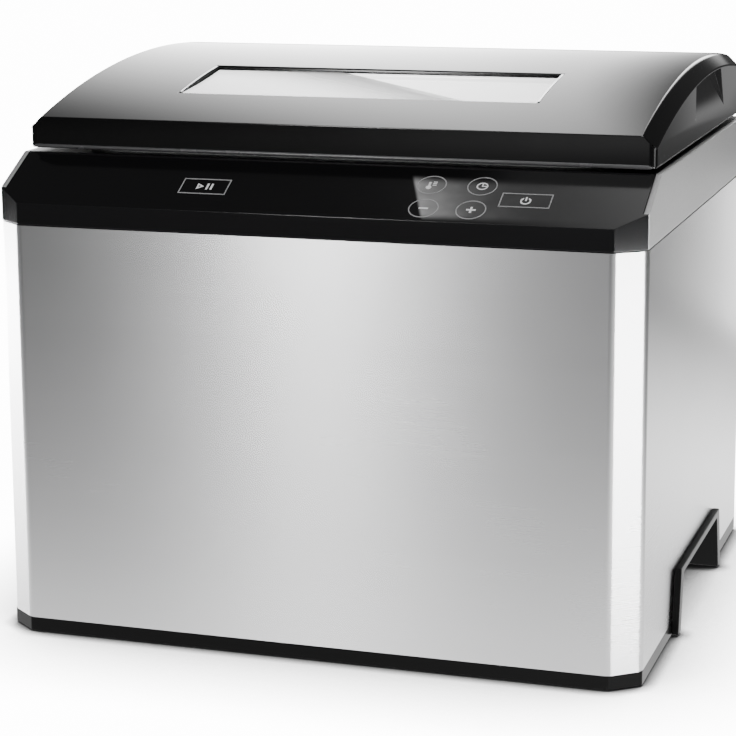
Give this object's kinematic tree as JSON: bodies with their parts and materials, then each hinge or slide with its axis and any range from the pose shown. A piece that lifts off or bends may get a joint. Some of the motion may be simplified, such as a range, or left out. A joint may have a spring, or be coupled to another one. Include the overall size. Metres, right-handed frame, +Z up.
{
  "type": "sous vide water bath",
  "caption": "Countertop water bath that cooks vacuum-packed food: brushed steel casing, sloping touch panel, lift-off arched lid with a viewing window and carrying grips.",
  "frame": {"origin": "centre of the footprint, on the surface that the feet stand on", "axes": "+Z up, the control panel faces -Y, +X to the right of someone who faces the panel"},
  "size_m": [0.368, 0.31, 0.31],
  "materials": {
    "brushed_steel": "brushed",
    "painted_panel": "satin",
    "black_plastic": "satin",
    "grip_plastic": "satin",
    "rubber": "matt",
    "steel_screw": "plain",
    "pin_metal": "plain",
    "gloss_black": "polished",
    "silver_trim": "satin silver paint",
    "key_print": "screen print",
    "circuit_board": "solder mask",
    "dark_module": "moulded",
    "transformer_core": "taped coil",
    "capacitor_can": "sleeved",
    "aluminium_part": "plain",
    "tub_steel": "satin",
    "silicone": "soft",
    "jacket_fibre": "felted",
    "rack_wire": "electropolished",
    "liner_plastic": "satin",
    "clear_pane": "clear"
  },
  "bodies": {
    "bath": {"base_screws": "steel_screw", "base_tray": "black_plastic", "board_chips": "dark_module", "board_posts": "pin_metal", "board_screws": "steel_screw", "bottom_grille": "tub_steel", "buzzer": "dark_module", "capacitor": "capacitor_can", "clamp_nuts": "steel_screw", "clamp_plate": "tub_steel", "clamp_studs": "steel_screw", "control_board": "circuit_board", "control_fascia": "gloss_black", "deck_screws": "steel_screw", "display_module": "dark_module", "drain_fitting": "tub_steel", "drain_strainer": "tub_steel", "hand_grip_left": "grip_plastic", "hand_grip_right": "grip_plastic", "heater_plate": "aluminium_part", "inlet_hose": "silicone", "inlet_pins": "pin_metal", "insulation_jacket": "jacket_fibre", "key_marks": "key_print", "level_probes": "tub_steel", "outer_casing": "brushed_steel", "outlet_fitting": "black_plastic", "outlet_hose": "silicone", "power_board": "circuit_board", "power_board_screws": "steel_screw", "power_inlet": "black_plastic", "probe_washer": "silicone", "pump_housing": "black_plastic", "pump_motor": "dark_module", "pump_pad": "silicone", "rear_panel": "painted_panel", "rear_screws": "steel_screw", "relay": "dark_module", "rubber_feet": "rubber", "side_trim_left": "silver_trim", "side_trim_right": "silver_trim", "temperature_probe": "tub_steel", "terminal_block": "dark_module", "thermal_cutout": "dark_module", "top_frame": "black_plastic", "touch_board": "circuit_board", "transformer": "transformer_core", "triac_heat_sink": "aluminium_part", "tub_gasket": "silicone", "water_tub": "tub_steel"},
    "lid": {"lid_shell": "gloss_black", "lid_liner": "liner_plastic", "lid_window": "clear_pane", "window_gasket": "rubber", "lid_screws": "steel_screw", "lid_seal": "silicone"},
    "rack": {"bag_rack": "rack_wire"},
    "pump_rotor": {"pump_shaft": "steel_screw", "rotor_magnet": "dark_module", "pump_impeller": "black_plastic"}
  },
  "joints": [
    {"name": "lid_lift", "type": "slide", "parent": "bath", "child": "lid", "axis": [0, 0, 1], "range_m": [0, 0.2]},
    {"name": "rack_lift", "type": "slide", "parent": "bath", "child": "rack", "axis": [0, 0, 1], "range_m": [0, 0.034]},
    {"name": "pump_spin", "type": "hinge", "parent": "bath", "child": "pump_rotor", "pos_m": [0.06, 0.101, 0.04], "axis": [0, 0, 1], "continuous": true}
  ]
}
